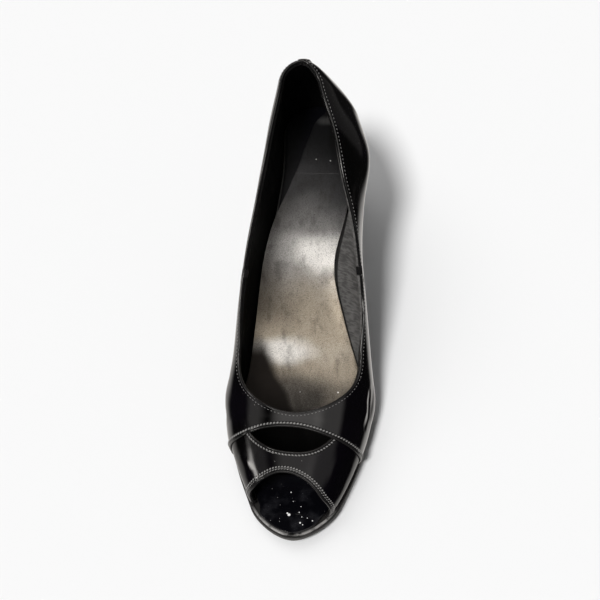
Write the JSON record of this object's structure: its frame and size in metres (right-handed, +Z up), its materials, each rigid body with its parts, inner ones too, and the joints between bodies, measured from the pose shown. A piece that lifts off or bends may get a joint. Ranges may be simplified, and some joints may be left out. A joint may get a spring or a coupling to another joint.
{
  "type": "peep toe pump",
  "caption": "Left peep toe pump with a slim covered heel, an almond cut-out over the toes and a metallic sock.",
  "frame": {"origin": "middle of the shoe's box seen from above, on the floor it stands on", "axes": "-Y toward the toe, +Y toward the heel, +X toward the lateral side, +Z up"},
  "size_m": [0.083, 0.244, 0.1275],
  "materials": {
    "patent": "high gloss black patent",
    "insole": "glossy black cover",
    "sock": "worn metallic bronze",
    "outsole": "satin black",
    "heel_tip": "matt black"
  },
  "bodies": {
    "root": {"upper": "patent", "insole": "insole", "sock": "sock", "outsole": "outsole", "heel": "patent", "heel_tip": "heel_tip"}
  },
  "joints": []
}
